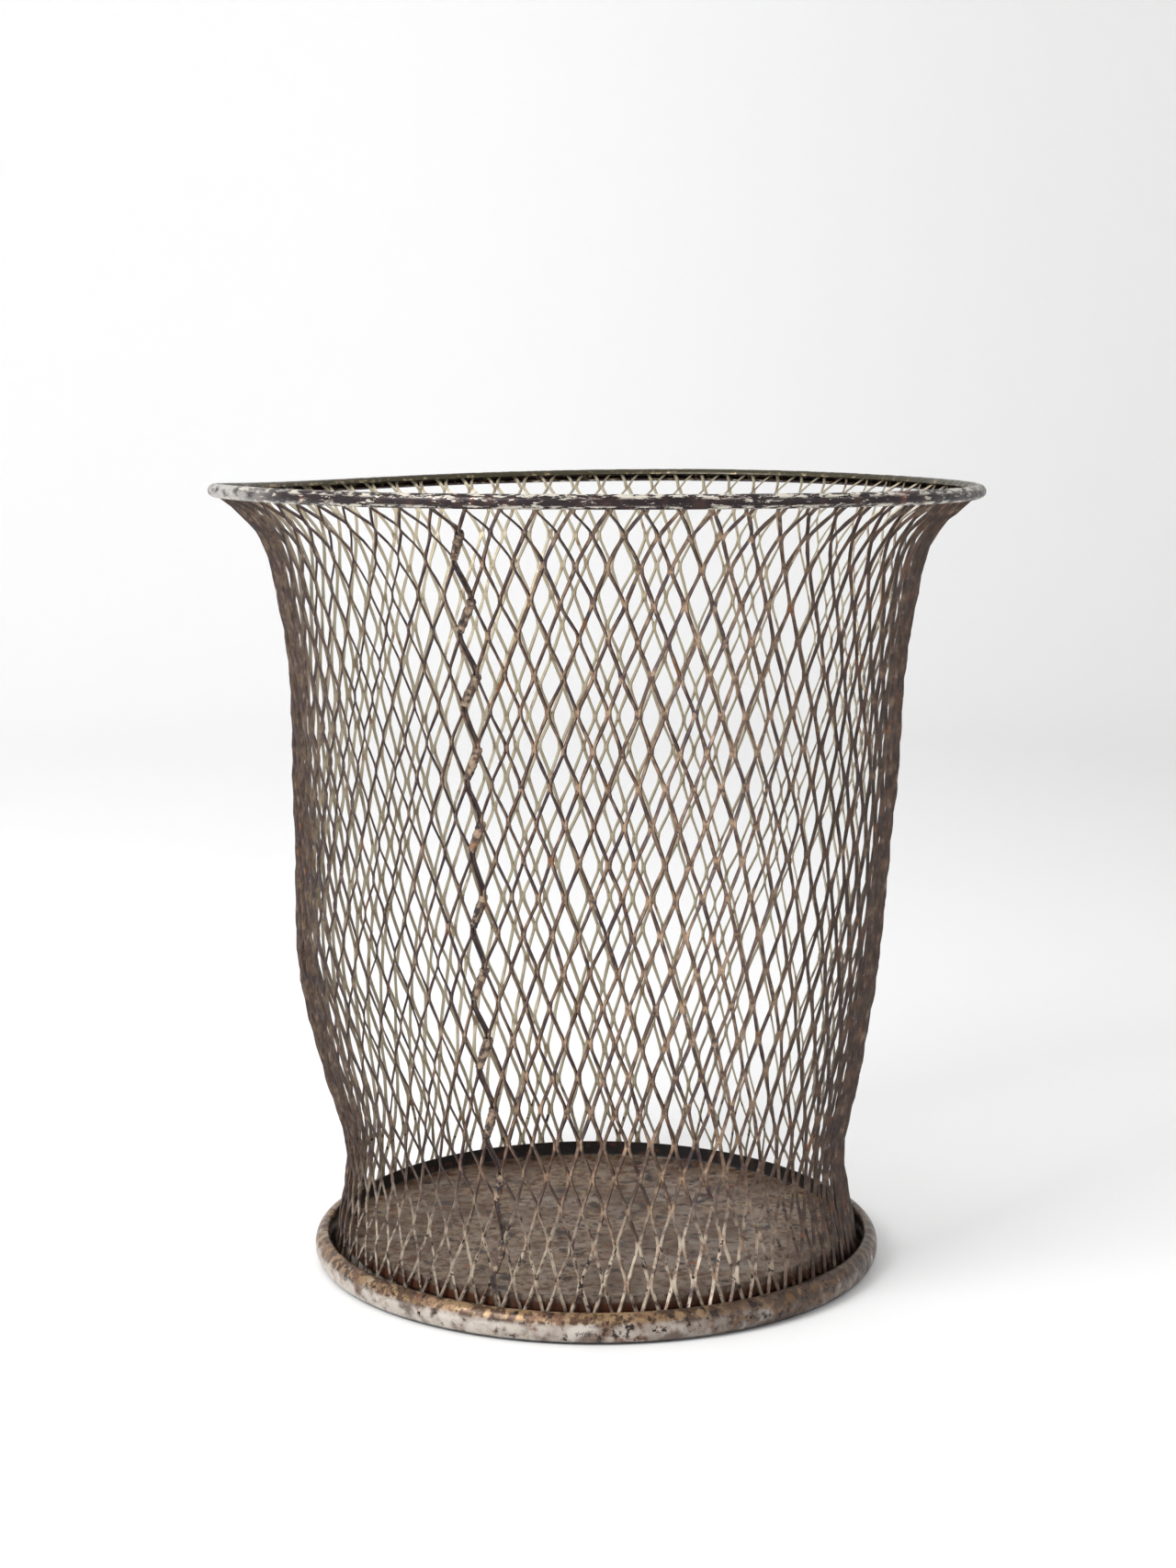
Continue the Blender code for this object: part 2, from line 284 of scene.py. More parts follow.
# The sheet is 150 upright strips, each bonded in turn to its left and its right neighbour. Between
# two bonds a strip's column is a straight ramp, at a bond it is level, and the strip keeps about
# half a strand's width from the bond's middle. Returns the path, the strand's sideways way, the
# sheet's ways around and out, and the ramp.
def strandPath(strips, rows):
    m = expandedSheet
    strip = strips[:, None]
    lower = np.floor(rows).astype(int)
    ramp = np.clip((rows - lower - m["bondShare"]) / (1 - 2 * m["bondShare"]), 0, 1)
    here = strip + (lower + strip) % 2
    after = strip + (lower + 1 + strip) % 2
    column = here + (after - here) * ramp
    fromEdge = np.minimum(rows - m["calmFrom"], m["lastRow"] + 1 - m["calmFrom"] - rows)
    calm = np.clip(fromEdge / m["calmReach"], m["calmLeast"], 1)[..., None]
    uneven = bondNoise[lower, here] * (1 - ramp[..., None]) + bondNoise[lower + 1, after] * ramp[..., None]
    uneven = uneven * calm
    place, around, out, _ = sheetPlace(column, rows)
    up = np.cross(out, around)
    place = place + uneven[..., :1] * around + uneven[..., 1:2] * up + uneven[..., 2:3] * out
    tilt = (m["strandTilt"] + uneven[..., 3])[..., None]
    side = np.cos(tilt) * around + np.sin(tilt) * out
    half = m["bondReach"] * m["strandWidth"] * (1 - 2 * (column - strip))
    return place + half[..., None] * side, side, around, out, ramp


# A rectangle of strand width by thickness carried up each strip, a few per cent wider or narrower
# from row to row. The attributes knot and seam are 1 at the bonds and on the seam's two strands,
# inward and shearedEdge are 1 on the faces that look in and on the two cut sides.
def makeExpandedSheet():
    m = expandedSheet
    strips = np.append(np.arange(2 * m["columns"]), m["seamStrip"])    # the seam has both sheet edges
    rows = (np.arange(m["firstRow"], m["lastRow"])[:, None] + np.array(m["strandPoints"])).ravel()
    rows = np.broadcast_to(rows, (len(strips), len(rows)))
    low = rowWhere(strips + 0.5, 0, m["firstRow"])[:, None]
    high = rowWhere(strips + 0.5, profileLength[-1] - m["topMargin"], m["lastRow"])[:, None]
    low = np.minimum(low, m["firstRow"] - m["endStep"])
    high = np.maximum(high, m["lastRow"] + m["endStep"])
    rows = np.hstack([low, (low + m["firstRow"]) / 2, rows, (high + m["lastRow"]) / 2, high])
    path, side, around, out, ramp = strandPath(strips, rows)
    seam = np.zeros((len(strips), 1, 1))
    seam[m["seamStrip"]] = -1
    seam[-1] = 1
    bare = (np.floor(rows) % 2)[..., None]           # 1 where no clip holds the seam
    spread = m["seamSpread"][0] + (m["seamSpread"][1] - m["seamSpread"][0]) * bare
    step, swing, turn, start = m["seamWeave"]
    weave = step + swing * np.sin(turn * rows + start)[..., None]
    path = path + seam * (spread * around + weave * out)
    random = np.random.default_rng(m["seed"] + 1)
    stout = random.normal(0, 1, rows.shape).clip(-mostUneven, mostUneven)
    stout = (1 + m["stoutness"] * stout)[..., None, None]
    width = m["seamWidth"][0] + (m["seamWidth"][1] - m["seamWidth"][0]) * bare
    stout = stout * (1 + (width - 1) * np.abs(seam))[..., None]
    along = unit(np.gradient(path, axis=1))
    side = unit(side - np.sum(side * along, axis=-1, keepdims=True) * along)[:, :, None]
    flat = np.cross(along, side[:, :, 0])[:, :, None]
    w, t = m["strandWidth"] / 2, m["strandThickness"] / 2
    corners = np.array([(-w, -t), (w, -t), (w, t), (-w, t)])
    grid = path[:, :, None] + stout * (corners[:, :1] * side + corners[:, 1:] * flat)
    mesh = gridMesh("expandedSheet", settle(grid), capped=True, smoothAngle=30)
    knot = np.maximum(1 - ramp * m["knotFade"], 1 - (1 - ramp) * m["knotFade"]).clip(0, 1)
    setAttribute(mesh, "knot", "POINT", np.repeat(knot[..., None], len(corners), axis=-1))
    setAttribute(mesh, "seam", "POINT", np.abs(seam) * np.ones(grid.shape[:3]))
    spans = len(strips) * (rows.shape[1] - 1)
    ends = np.zeros(2 * len(strips))
    setAttribute(mesh, "inward", "FACE", np.append(np.tile([0, 0, 1, 1], spans), ends))
    setAttribute(mesh, "shearedEdge", "FACE", np.append(np.tile([0, 1, 0, 1], spans), ends + 1))
    return mesh


seamClips = {
    "count": 11,
    "start": 0.10,                   # part of the strand, from its lower bond
    "end": 0.97,
    "halfWidth": 1.75 * mm,
    "halfDepth": 1.35 * mm,
    "metal": 0.36 * mm,
    "rings": 14,
    "points": 22,
    "edge": (70, 25),                # degrees from the side at which the roll starts, and its scatter
    "crook": (0.35, 5, 6),           # radians that the edge swings by, its turn up the clip and scatter
    "wrap": 1.1,                     # turns from edge to edge
    "layering": 0.2,                 # how much wider the roll ends than it starts
    "pinched": 0.8,                  # share of the half sizes, before the next two are added
    "belly": (0.24, 0.08, 0.66),     # height, start and span in half turns of a sine
    "knuckle": (0.16, 0.93, 0.06),   # height, place and reach of the lump near the upper end
    "crumple": 0.05,
    "seed": 5,
}


# A tongue of sheet metal rolled round both strands of the seam: an oval that winds on past its own
# start, its size a sine plus a bell curve of the way up, with a slightly crooked edge.
def makeSeamClip(number, random):
    c = seamClips
    t = np.linspace(0, 1, c["rings"])
    rows = (2 * number + c["start"] + (c["end"] - c["start"]) * t)[None]
    path, _, around, _, _ = strandPath(np.array([expandedSheet["seamStrip"]]), rows)
    along = unit(np.gradient(path, axis=1))[0]
    side = unit(around[0] - np.sum(around[0] * along, axis=-1, keepdims=True) * along)
    outward = np.cross(side, along)
    start = math.radians(c["edge"][0] + c["edge"][1] * random.random())
    start = start + c["crook"][0] * np.sin(c["crook"][1] * t + c["crook"][2] * random.random())
    turn = start[:, None] + np.linspace(0, c["wrap"] * fullTurn, c["points"])
    growth = 1 + np.linspace(0, c["layering"], c["points"])
    rise, first, span = c["belly"]
    lump, place, reach = c["knuckle"]
    swell = c["pinched"] + rise * np.sin(math.pi * (first + span * t))
    swell = swell + lump * np.exp(-(((t - place) / reach) ** 2))
    swell = (swell + c["crumple"] * random.normal(size=len(t)))[:, None]
    wide = c["halfWidth"] * swell * growth * np.cos(turn)
    deep = c["halfDepth"] * swell * growth * np.sin(turn)
    thin = 1 - c["metal"] / (c["halfDepth"] * swell * growth)
    oval = np.stack([
        np.hstack([wide, (wide * thin)[:, ::-1]]),
        np.hstack([deep, (deep * thin)[:, ::-1]]),
    ], axis=-1)
    grid = path[0][:, None] + oval[..., :1] * side[:, None] + oval[..., 1:] * outward[:, None]
    return gridMesh(f"seamClip{number:02d}", settle(grid)[None], capped=True, smoothAngle=50)


rolledRim = {
    "centre": (169.4 * mm, 353 * mm),
    "radius": 3 * mm,
    "metal": 0.8 * mm,
    "slot": (168, 232),              # degrees round the tube, 0 faces out and 90 up
    "points": 30,
    "steps": 300,
    "wobble": 0.3 * mm,
    "seed": 3,
}


# A tube rolled from sheet, open along a slot that takes the top edge of the mesh. The attribute
# around is the angle round the tube in degrees, and inside is 1 within the tube.
def makeRolledRim():
    r = rolledRim
    middle = r["radius"] - r["metal"] / 2
    turn = np.radians(np.linspace(r["slot"][1] - 360, r["slot"][0], r["points"]))
    line = np.array(r["centre"]) + middle * np.stack([np.cos(turn), np.sin(turn)], axis=1)
    grid = turnedGrid(stripOutline(line, r["metal"]), r["steps"], r["wobble"], r["seed"])
    mesh = gridMesh("rolledRim", settle(grid), loopRows=True)
    around = np.degrees(np.append(turn, turn[::-1]))
    setAttribute(mesh, "around", "POINT", np.tile(around, r["steps"]))
    setAttribute(mesh, "inside", "POINT", np.tile(np.repeat([0, 1], len(turn)), r["steps"]))
    return mesh


baseBead = {
    "metal": 0.9 * mm,
    "lip": ((124.1 * mm, 11.2 * mm), (124.2 * mm, 12 * mm)),
    "bulgeCentre": (125.4 * mm, 6.6 * mm),
    "bulgeSize": (4.35 * mm, 6.15 * mm),
    "bulgeTurn": (97, -90),          # degrees, from above the centre round the outside to below it
    "bulgePoints": 26,
    "ringEdge": 124.5 * mm,
    "ringPoints": 6,
    "bend": 1.4 * mm,
    "bendTurn": (-110, -180),        # degrees, from the flat ring up to the leg
    "bendPoints": 5,
    "legRadius": 115.8 * mm,
    "legFoot": 2.5 * mm,             # over the middle of the flat ring
    "legTop": 9.1 * mm,
    "legPoints": 4,
    "steps": 300,
    "wobble": 0.22 * mm,
    "seed": 8,
}


# A channel: a lip curled in to the mesh, half an ellipse outside, a flat ring and an inner leg.
def makeBaseBead():
    b = baseBead
    turn = np.radians(np.linspace(*b["bulgeTurn"], b["bulgePoints"]))
    around = np.stack([np.cos(turn), np.sin(turn)], axis=1)
    bulge = np.array(b["bulgeCentre"]) + np.array(b["bulgeSize"]) * around
    bottom = b["metal"] / 2
    across = np.linspace(b["ringEdge"], b["legRadius"] + b["bend"], b["ringPoints"])
    ring = np.stack([across, np.full_like(across, bottom)], axis=1)
    turn = np.radians(np.linspace(*b["bendTurn"], b["bendPoints"]))
    corner = b["bend"] * np.stack([1 + np.cos(turn), 1 + np.sin(turn)], axis=1) + (b["legRadius"], bottom)
    up = np.linspace(bottom + b["legFoot"], b["legTop"], b["legPoints"])
    leg = np.stack([np.full_like(up, b["legRadius"]), up], axis=1)
    line = np.vstack([b["lip"], bulge, ring, corner, leg])
    grid = turnedGrid(stripOutline(line, b["metal"]), b["steps"], b["wobble"], b["seed"])
    return gridMesh("baseBead", settle(grid), loopRows=True)


basePan = {
    "wallRadius": 117.6 * mm,        # outside
    "metal": 0.8 * mm,
    "height": 17.5 * mm,
    "floor": 10.2 * mm,              # top of the floor
    "corner": 1.4 * mm,
    "cornerPoints": 7,
    "rings": 26,
    "steps": 240,
    "wobble": 0.08 * mm,
    "seed": 4,
}


# Floor and wall as one outline: out from the axis, up the wall, over its edge and back underneath.
# The attribute outside is 1 on the outer face of the wall.
def makeBasePan():
    b = basePan
    inner = b["wallRadius"] - b["metal"]
    turn = np.radians(np.linspace(-90, 0, b["cornerPoints"]))[:, None]
    bend = np.hstack([np.cos(turn), np.sin(turn)])
    centre = np.array([inner - b["corner"], b["floor"] + b["corner"]])
    rings = np.linspace(0, inner - b["corner"], b["rings"])[:-1]
    outline = np.vstack([
        np.stack([rings, np.full_like(rings, b["floor"])], axis=1),
        centre + b["corner"] * bend,
        [(inner, b["height"]), (b["wallRadius"], b["height"])],
        centre + (b["corner"] + b["metal"]) * bend[::-1],
        np.stack([rings, np.full_like(rings, b["floor"] - b["metal"])], axis=1)[::-1],
    ])
    grid = turnedGrid(outline, b["steps"], b["wobble"], b["seed"])
    mesh = gridMesh("basePan", settle(grid), loopRows=True, poles=True)
    points = np.empty(3 * len(mesh.vertices), dtype=np.float32)
    mesh.vertices.foreach_get("co", points)
    radius = np.hypot(points[0::3], points[1::3])
    setAttribute(mesh, "outside", "POINT", radius > inner + b["metal"] / 2)
    return mesh


# An sRGB hex colour to linear red, green, blue and alpha: each channel below 0.04045 is divided by
# 12.92, the others are ((channel + 0.055) / 1.055) to the power 2.4.
def linear(hexColour):
    channels = [int(hexColour[i:i + 2], 16) / 255 for i in (1, 3, 5)]
    return (*[c / 12.92 if c < 0.04045 else ((c + 0.055) / 1.055) ** 2.4 for c in channels], 1)


# Adds a node with its settings and its sockets, which take a value or another node's output.
def addNode(material, kind, settings, sockets):
    tree = material.node_tree
    node = tree.nodes.new(kind)
    for name, value in settings.items():
        setattr(node, name, value)
    for name, value in sockets.items():
        if isinstance(value, bpy.types.NodeSocket):
            tree.links.new(value, node.inputs[name])
        else:
            node.inputs[name].default_value = value
    return node


smooth = {"interpolation_type": "SMOOTHSTEP"}
plainLayer = {                       # what a layer has where its own dictionary doesn't say otherwise
    "amount": 1,
    "detail": 4,
    "grain": 0.55,
    "squash": (1, 1, 1),
    "shift": (0, 0, 0),
    "kept": (),
}
glossNoise = (0.35, 0.65)            # the noise between which the roughness goes over its range
bumpStrength = 0.7


# Makes a worn metal from a dictionary of coats. Each coat covers what is under it where its mask
# is 1: noise whose lumps are size across, stretched so that from becomes 0 and to becomes 1, times
# the same of each place it is kept to, which is X, Y or Z of the object or an attribute. The mix of
# colours takes its mask on socket 0, what is under on 6 and what covers it on 7.
def makeSteel(look):
    material = bpy.data.materials.new(look["name"])
    material.use_nodes = True
    shader = material.node_tree.nodes["Principled BSDF"]
    shader.inputs["Metallic"].default_value = look["metallic"]
    place = addNode(material, "ShaderNodeTexCoord", {}, {}).outputs["Object"]
    axes = addNode(material, "ShaderNodeSeparateXYZ", {}, {"Vector": place})
    layers = [{**plainLayer, **layer} for layer in (*look["coats"], look["gloss"], look["bump"])]
    for layer in layers:
        squashed = addNode(material, "ShaderNodeMapping", {}, {
            "Vector": place, "Scale": layer["squash"], "Location": layer["shift"],
        })
        layer["noise"] = addNode(material, "ShaderNodeTexNoise", {}, {
            "Vector": squashed.outputs[0], "Scale": 1 / layer["size"],
            "Detail": layer["detail"], "Roughness": layer["grain"],
        }).outputs["Fac"]
    *coats, gloss, bump = layers
    colour = linear(look["base"])
    for coat in coats:
        mask = addNode(material, "ShaderNodeMapRange", smooth, {
            "Value": coat["noise"], "From Min": coat["from"], "From Max": coat["to"],
            "To Max": coat["amount"],
        }).outputs["Result"]
        for where, low, high in coat["kept"]:
            if where in ("X", "Y", "Z"):
                source = axes.outputs[where]
            else:
                attribute = addNode(material, "ShaderNodeAttribute", {"attribute_name": where}, {})
                source = attribute.outputs["Fac"]
            kept = addNode(material, "ShaderNodeMapRange", smooth, {
                "Value": source, "From Min": low, "From Max": high,
            })
            mask = addNode(material, "ShaderNodeMath", {"operation": "MULTIPLY"}, {
                0: mask, 1: kept.outputs["Result"],
            }).outputs[0]
        colour = addNode(material, "ShaderNodeMix", {"data_type": "RGBA"}, {
            0: mask, 6: colour, 7: linear(coat["colour"]),
        }).outputs[2]
    rough = addNode(material, "ShaderNodeMapRange", smooth, {
        "Value": gloss["noise"], "From Min": glossNoise[0], "From Max": glossNoise[1],
        "To Min": gloss["range"][0], "To Max": gloss["range"][1],
    })
    raised = addNode(material, "ShaderNodeBump", {}, {
        "Height": bump["noise"], "Distance": bump["depth"], "Strength": bumpStrength,
    })
    material.node_tree.links.new(colour, shader.inputs["Base Color"])
    material.node_tree.links.new(rough.outputs["Result"], shader.inputs["Roughness"])
    material.node_tree.links.new(raised.outputs["Normal"], shader.inputs["Normal"])
    print("mixed", look["name"])
    return material


# Slit and stretched mild steel, long oxidised: a dull purple-brown skin with pale rubbed patches, painted
# shade on the cut sides of the strands, painted light in pale khaki where the far wall faces in, a painted
# highlight on the knots, a dark seam, painted shade over rust at the right and painted light on pale tan
# strands at the near foot.
strandSteel = {
    "name": "oxidisedStrandSteelWithPaintedLight",
    "metallic": 0.25,
    "base": "#4f3a2f",
    "coats": (
        {"colour": "#8d7460", "size": 7 * mm, "from": 0.44, "to": 0.68},
        {"colour": "#35272e", "size": 16 * mm, "from": 0.50, "to": 0.62, "amount": 0.8},
        # painted highlight: paler metal on the knots, where the tilted bonds catch the light
        {"colour": "#ab9075", "size": 3 * mm, "from": 0.42, "to": 0.64, "amount": 0.75,
         "kept": (("knot", 0.1, 0.9),)},
        # painted shade: dark on the strands' cut sides, which turn away from the light
        {"colour": "#261a20", "size": 5 * mm, "from": 0.20, "to": 0.60, "amount": 0.85,
         "kept": (("shearedEdge", 0, 1),)},
        # painted shade over rust: the right side darkened, away from the key light
        {"colour": "#2a1b13", "size": 6 * mm, "from": 0.22, "to": 0.56, "amount": 0.9,
         "kept": (("X", 45 * mm, 105 * mm),)},
        {"colour": "#412e20", "size": 6 * mm, "from": 0.36, "to": 0.66, "amount": 0.6,
         "kept": (("X", -70 * mm, -120 * mm),)},
        # painted light: pale khaki on the faces that look in on the far wall, where the key light falls
        {"colour": "#a69c84", "size": 20 * mm, "from": 0.10, "to": 0.45, "amount": 0.92,
         "kept": (("inward", 0, 1), ("Y", 5 * mm, 70 * mm))},
        {"colour": "#6b5a40", "size": 9 * mm, "from": 0.50, "to": 0.62, "amount": 0.8,
         "kept": (("inward", 0, 1), ("knot", 0.2, 1))},
        # painted light on pale tan metal: the near foot's strands paler where the key light falls
        {"colour": "#b7a997", "size": 4 * mm, "from": 0.36, "to": 0.62, "amount": 0.85,
         "kept": (("Z", 66 * mm, 30 * mm), ("Y", -20 * mm, -70 * mm), ("X", 95 * mm, 50 * mm))},
        {"colour": "#1f1613", "size": 3 * mm, "from": 0.58, "to": 0.64, "kept": (("Z", 66 * mm, 34 * mm),)},
        {"colour": "#2e2122", "size": 5 * mm, "from": 0.25, "to": 0.55, "amount": 0.85,
         "kept": (("seam", 0, 1),)},
        {"colour": "#54392a", "size": 8 * mm, "from": 0.52, "to": 0.62, "amount": 0.7, "detail": 6,
         "kept": (("X", 55 * mm, 105 * mm),)},
        {"colour": "#74492c", "size": 13 * mm, "from": 0.64, "to": 0.71, "amount": 0.8, "detail": 6},
    ),
    "gloss": {"size": 5 * mm, "range": (0.36, 0.6)},
    "bump": {"size": 0.9 * mm, "depth": 0.10 * mm},      # rust grain of 0.3 mm, drawn three times as coarse
}

# The same steel folded hard: mottled pale and dark in small patches at random, with rust.
clipSteel = {
    "name": "crimpedClipSteel",
    "metallic": 0.25,
    "base": "#4a3a31",
    "coats": (
        {"colour": "#947f6a", "size": 2.4 * mm, "from": 0.44, "to": 0.62},
        {"colour": "#221a1d", "size": 3.4 * mm, "from": 0.52, "to": 0.62, "shift": (1, 0, 0)},
        {"colour": "#7c5230", "size": 6 * mm, "from": 0.62, "to": 0.70, "amount": 0.7},
    ),
    "gloss": {"size": 3 * mm, "range": (0.36, 0.6)},
    "bump": {"size": 1.2 * mm, "depth": 0.2 * mm},       # creases of the folded metal
}

# Rolled steel browned almost to chocolate, rubbed and chipped to bright metal above and below the middle of
# the tube, where the pale strips also paint its highlights, with painted highlights of grey at both ends and
# painted shade inside.
rimSteel = {
    "name": "chippedRimSteelWithPaintedLight",
    "metallic": 0.4,
    "base": "#1d1014",
    "coats": (
        {"colour": "#3c2620", "size": 7 * mm, "from": 0.48, "to": 0.68, "amount": 0.8},
        {"colour": "#6d3a2c", "size": 22 * mm, "from": 0.60, "to": 0.68, "amount": 0.6},
        # pale chips and painted highlight: the bright strip along the top of the tube
        {"colour": "#d3ccbf", "size": 2.6 * mm, "from": 0.50, "to": 0.54, "detail": 8, "grain": 0.72,
         "squash": (0.35, 0.35, 1.6), "kept": (("around", 14, 46), ("around", 125, 100))},
        # pale chips and painted highlight: the bright strip below the middle of the tube
        {"colour": "#c9c2b6", "size": 2.6 * mm, "from": 0.49, "to": 0.54, "detail": 8, "grain": 0.72,
         "squash": (0.35, 0.35, 1.6), "kept": (("around", -24, -44), ("around", -92, -72))},
        {"colour": "#c4bdb0", "size": 2.4 * mm, "from": 0.58, "to": 0.61, "detail": 8, "grain": 0.72,
         "squash": (0.35, 0.35, 1.5), "amount": 0.9, "kept": (("around", 100, 80),)},
        # painted highlight: grey sheen at the rim's left end
        {"colour": "#b3afaa", "size": 5 * mm, "from": 0.36, "to": 0.56, "amount": 0.85, "detail": 6,
         "squash": (0.4, 0.4, 1.5), "kept": (("X", -125 * mm, -158 * mm), ("around", 120, 95))},
        # painted highlight: grey sheen at the rim's right end
        {"colour": "#8f8b86", "size": 6 * mm, "from": 0.40, "to": 0.55, "amount": 0.8,
         "kept": (("X", 140 * mm, 163 * mm), ("around", 15, 40))},
        {"colour": "#39341f", "size": 8 * mm, "from": 0.1, "to": 0.4, "amount": 0.9,
         "kept": (("around", 92, 118),)},
        # painted shade: near black inside the tube
        {"colour": "#24150e", "size": 9 * mm, "from": 0, "to": 0.2, "kept": (("inside", 0, 1),)},
        {"colour": "#8d7c60", "size": 6 * mm, "from": 0.54, "to": 0.60, "detail": 7, "grain": 0.7,
         "kept": (("around", 128, 150),)},
        {"colour": "#8d7c60", "size": 6 * mm, "from": 0.55, "to": 0.61, "detail": 7, "grain": 0.7,
         "kept": (("inside", 0, 1),)},
    ),
    "gloss": {"size": 5 * mm, "range": (0.3, 0.5)},
    "bump": {"size": 3 * mm, "depth": 0.15 * mm,         # scabs of old finish, long ways round the rim
             "squash": (0.5, 0.5, 1.5), "detail": 6},
}

# Bright steel on the round of the bead, with painted light on its left, tan dust and rust on its top, black
# pits, painted shade over rust that nearly covers its right side, and a painted contact shadow along its
# foot.
beadSteel = {
    "name": "rustyBeadSteelWithPaintedLight",
    "metallic": 0.4,
    "base": "#988c82",
    "coats": (
        {"colour": "#b9b1a8", "size": 9 * mm, "from": 0.42, "to": 0.60, "detail": 6},
        {"colour": "#63544a", "size": 12 * mm, "from": 0.48, "to": 0.62, "amount": 0.9, "detail": 6},
        {"colour": "#90734f", "size": 7 * mm, "from": 0.22, "to": 0.46, "amount": 0.92,
         "kept": (("Z", 8.8 * mm, 10.6 * mm),)},
        {"colour": "#4b3524", "size": 5 * mm, "from": 0.46, "to": 0.56, "detail": 6,
         "kept": (("Z", 7.4 * mm, 9.8 * mm),)},
        {"colour": "#6b4c38", "size": 8 * mm, "from": 0.50, "to": 0.60, "detail": 7, "grain": 0.65},
        # painted shade over rust: the right side darkened, away from the key light
        {"colour": "#3e3028", "size": 8 * mm, "from": 0.22, "to": 0.52, "amount": 0.92, "detail": 6,
         "kept": (("X", 0, 80 * mm),)},
        {"colour": "#6b4b2b", "size": 4 * mm, "from": 0.54, "to": 0.62, "amount": 0.6, "shift": (1, 0, 0),
         "kept": (("X", 20 * mm, 60 * mm),)},
        {"colour": "#221714", "size": 4 * mm, "from": 0.56, "to": 0.61, "detail": 6, "grain": 0.65},
        # painted light: paler bulge at the left, where the key light falls on bright steel
        {"colour": "#c2bab0", "size": 6 * mm, "from": 0.34, "to": 0.58, "amount": 0.8, "detail": 6,
         "shift": (0, 1, 0), "kept": (("X", 10 * mm, -40 * mm), ("Z", 9.4 * mm, 7.4 * mm))},
        # painted contact shadow: near black along the bottom edge, where the bead meets the floor
        {"colour": "#1a1310", "size": 9 * mm, "from": 0, "to": 0.2, "kept": (("Z", 2.2 * mm, 0.6 * mm),)},
    ),
    "gloss": {"size": 6 * mm, "range": (0.28, 0.5)},
    "bump": {"size": 2 * mm, "depth": 0.25 * mm, "detail": 6},   # rust pits of 1 mm, drawn twice as coarse
}

# Pressed sheet gone grey-brown, marbled with fine rust, with rust-black and painted shade, near black, up the
# inside of its wall.
panSteel = {
    "name": "stainedPanSteelWithPaintedShade",
    "metallic": 0.25,
    "base": "#806c59",
    "coats": (
        {"colour": "#534030", "size": 5 * mm, "from": 0.42, "to": 0.60, "detail": 7, "grain": 0.65},
        {"colour": "#4b3829", "size": 38 * mm, "from": 0.42, "to": 0.66, "amount": 0.7},
        {"colour": "#8b8076", "size": 22 * mm, "from": 0.52, "to": 0.68, "amount": 0.6, "shift": (1, 0, 0)},
        {"colour": "#54301c", "size": 5 * mm, "from": 0.53, "to": 0.59, "detail": 7, "grain": 0.65},
        {"colour": "#2e1f18", "size": 7 * mm, "from": 0.58, "to": 0.63, "detail": 6, "shift": (0, 1, 0)},
        {"colour": "#84461f", "size": 10 * mm, "from": 0.66, "to": 0.70, "shift": (0, 2, 0)},
        {"colour": "#8f8636", "size": 7 * mm, "from": 0.66, "to": 0.72, "amount": 0.7, "shift": (2, 1, 0),
         "kept": (("Y", -30 * mm, 0),)},
        # painted shade over rust-black: the inside of the wall near black
        {"colour": "#0d0806", "size": 9 * mm, "from": 0.1, "to": 0.4, "kept": (("Z", 10.3 * mm, 11 * mm),)},
        {"colour": "#3f2115", "size": 5 * mm, "from": 0.55, "to": 0.65, "kept": (("Z", 10.3 * mm, 12 * mm),)},
        {"colour": "#76675a", "size": 6 * mm, "from": 0, "to": 0.2, "kept": (("outside", 0, 1),)},
        {"colour": "#4d3a2f", "size": 4 * mm, "from": 0.40, "to": 0.58, "kept": (("outside", 0, 1),)},
        {"colour": "#54301f", "size": 6 * mm, "from": 0.20, "to": 0.50,
         "kept": (("outside", 0, 1), ("Z", 15.4 * mm, 13.8 * mm))},
    ),
    "gloss": {"size": 8 * mm, "range": (0.45, 0.65)},
    "bump": {"size": 4 * mm, "depth": 0.15 * mm, "detail": 6},   # dints and blooms of rust
}

clipRandom = np.random.default_rng(seamClips["seed"])
clipMaterial = makeSteel(clipSteel)
addPiece(makeExpandedSheet(), makeSteel(strandSteel), "mesh_steel", "mesh_body")
for clipNumber in range(1, seamClips["count"] + 1):
    addPiece(makeSeamClip(clipNumber, clipRandom), clipMaterial, "clip_steel", f"seam_clip_{clipNumber:02d}")
addPiece(makeRolledRim(), makeSteel(rimSteel), "rim_steel", "rim_tube")
addPiece(makeBaseBead(), makeSteel(beadSteel), "bead_steel", "base_bead")
addPiece(makeBasePan(), makeSteel(panSteel), "pan_steel", "base_pan")

studio = {
    "camera": (-3.9 * mm, -1.1754, 0.39),
    "pitch": math.radians(8.28),     # the camera looks down by this
    "lens": 59.9,
    "sensor": 36,
    "floorRadius": 1.9,              # a white bowl: flat floor, swept up into a round wall
    "floorRings": 8,
    "sweep": 0.9,
    "sweepPoints": 16,
    "wallHeight": 3.4,
    "sides": 96,
    "floorDrop": 0.2 * mm,           # the paper lies this far under the basket, so they don't flicker
    "paper": ("#f6f6f6", "#e2e2e2"),
    "paperRoughness": 0.8,
    "shade": (-0.4, 1.0),            # painted shade: the paper darkens to the right over these X
    "aimHeight": 0.15,               # of the point that the lights face
    "keyLight": ((-1.5, -1.4, 1.75), 1.1, 52),      # place, size and watts
    "fillLight": ((1.7, -1.2, 1.0), 1.4, 7),
    "sky": 0.8,
}


# The camera stands in front of the basket, level, and looks down by the pitch.
def addCamera():
    data = bpy.data.cameras.new("camera")
    data.lens = studio["lens"]
    data.sensor_width = studio["sensor"]
    view = bpy.data.objects.new("camera", data)
    view.location = studio["camera"]
    view.rotation_euler = (math.pi / 2 - studio["pitch"], 0, 0)
    bpy.context.scene.collection.objects.link(view)
    bpy.context.scene.camera = view
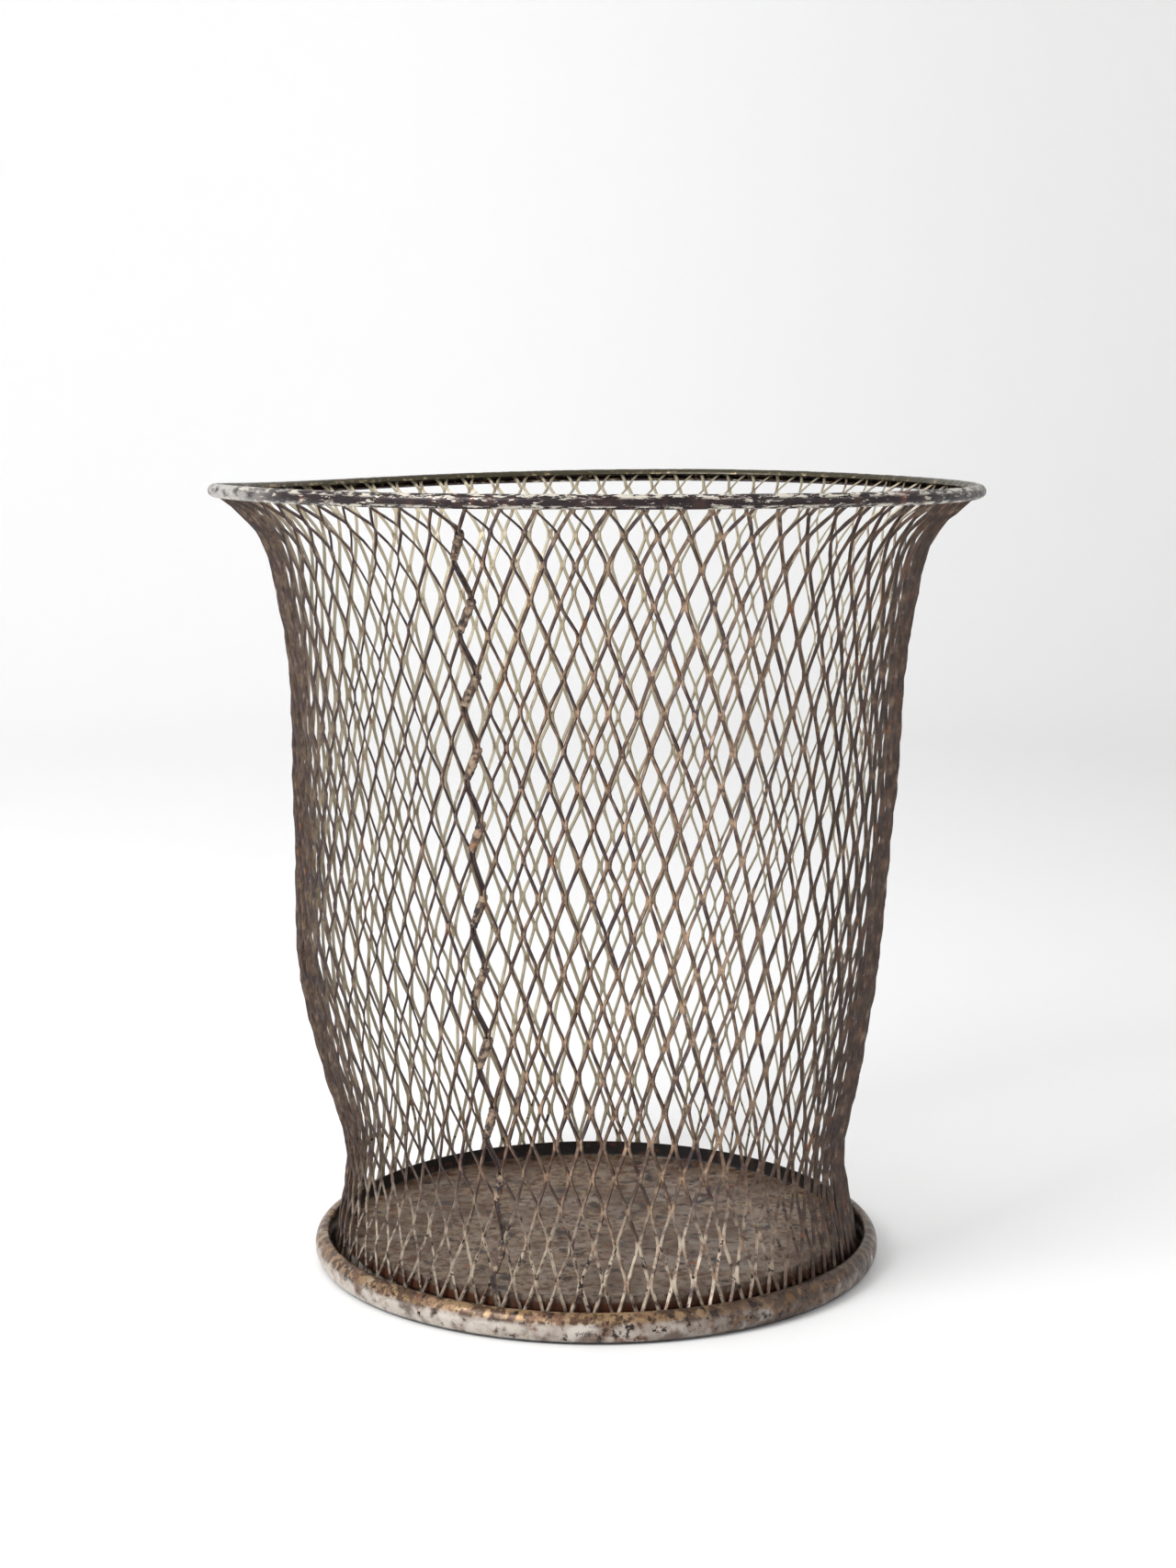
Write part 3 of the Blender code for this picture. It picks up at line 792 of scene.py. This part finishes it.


# Matt white paper: a quarter circle joins the flat floor to the upright wall, all carried round
# the axis, and its colour goes from the first to the second of paper along X, a painted shade that darkens it
# to the right.
def addBackdrop():
    s = studio
    turn = np.radians(np.linspace(-90, 0, s["sweepPoints"]))
    sweep = np.stack([s["floorRadius"] + s["sweep"] * np.cos(turn), s["sweep"] * (1 + np.sin(turn))], axis=1)
    rings = np.linspace(0, s["floorRadius"], s["floorRings"])[:-1]
    flat = np.stack([rings, np.zeros_like(rings)], axis=1)
    outline = np.vstack([flat, sweep, [(s["floorRadius"] + s["sweep"], s["wallHeight"])]])
    angle = np.linspace(0, fullTurn, s["sides"] + 1)[:-1, None]
    x, y = outline[:, 0] * np.cos(angle), outline[:, 0] * np.sin(angle)
    grid = np.stack([x, y, np.broadcast_to(outline[:, 1] - s["floorDrop"], x.shape)], axis=-1)
    index = np.arange(x.size).reshape(x.shape)
    ahead = np.roll(index, -1, axis=0)
    quads = np.stack([index[:, :-1], index[:, 1:], ahead[:, 1:], ahead[:, :-1]], axis=-1).reshape(-1, 4)
    mesh = bpy.data.meshes.new("backdrop")
    mesh.from_pydata(grid.reshape(-1, 3).tolist(), [], quads.tolist())
    mesh.shade_smooth()
    backdrop = bpy.data.objects.new("backdrop", mesh)
    paper = bpy.data.materials.new("seamlessPaperWithPaintedShade")
    paper.use_nodes = True
    shader = paper.node_tree.nodes["Principled BSDF"]
    place = addNode(paper, "ShaderNodeTexCoord", {}, {}).outputs["Object"]
    axes = addNode(paper, "ShaderNodeSeparateXYZ", {}, {"Vector": place})
    shade = addNode(paper, "ShaderNodeMapRange", smooth, {
        "Value": axes.outputs["X"], "From Min": s["shade"][0], "From Max": s["shade"][1],
    })
    colour = addNode(paper, "ShaderNodeMix", {"data_type": "RGBA"}, {
        0: shade.outputs["Result"], 6: linear(s["paper"][0]), 7: linear(s["paper"][1]),
    })
    paper.node_tree.links.new(colour.outputs[2], shader.inputs["Base Color"])
    shader.inputs["Roughness"].default_value = s["paperRoughness"]
    mesh.materials.append(paper)
    bpy.context.scene.collection.objects.link(backdrop)


# A square soft light, turned about X by its angle from straight down and about Z by its bearing, so
# that it faces the point at aimHeight on the axis.
def addSoftLight(name, place, size, watts):
    data = bpy.data.lights.new(name, "AREA")
    data.size = size
    data.energy = watts
    light = bpy.data.objects.new(name, data)
    light.location = place
    aim = np.array([0, 0, studio["aimHeight"]]) - np.array(place)
    fall = math.atan2(math.hypot(aim[0], aim[1]), -aim[2])
    light.rotation_euler = (fall, 0, math.atan2(aim[1], aim[0]) - math.pi / 2)
    bpy.context.scene.collection.objects.link(light)


# An even white sky at the studio's strength.
def addSky():
    sky = bpy.data.worlds.new("sky")
    sky.use_nodes = True
    background = sky.node_tree.nodes["Background"]
    background.inputs["Color"].default_value = linear("#ffffff")
    background.inputs["Strength"].default_value = studio["sky"]
    bpy.context.scene.world = sky


addCamera()
addBackdrop()
addSoftLight("keyLight", *studio["keyLight"])
addSoftLight("fillLight", *studio["fillLight"])
addSky()
bpy.context.scene.view_settings.view_transform = "Standard"
print("stage, camera and light are in place")
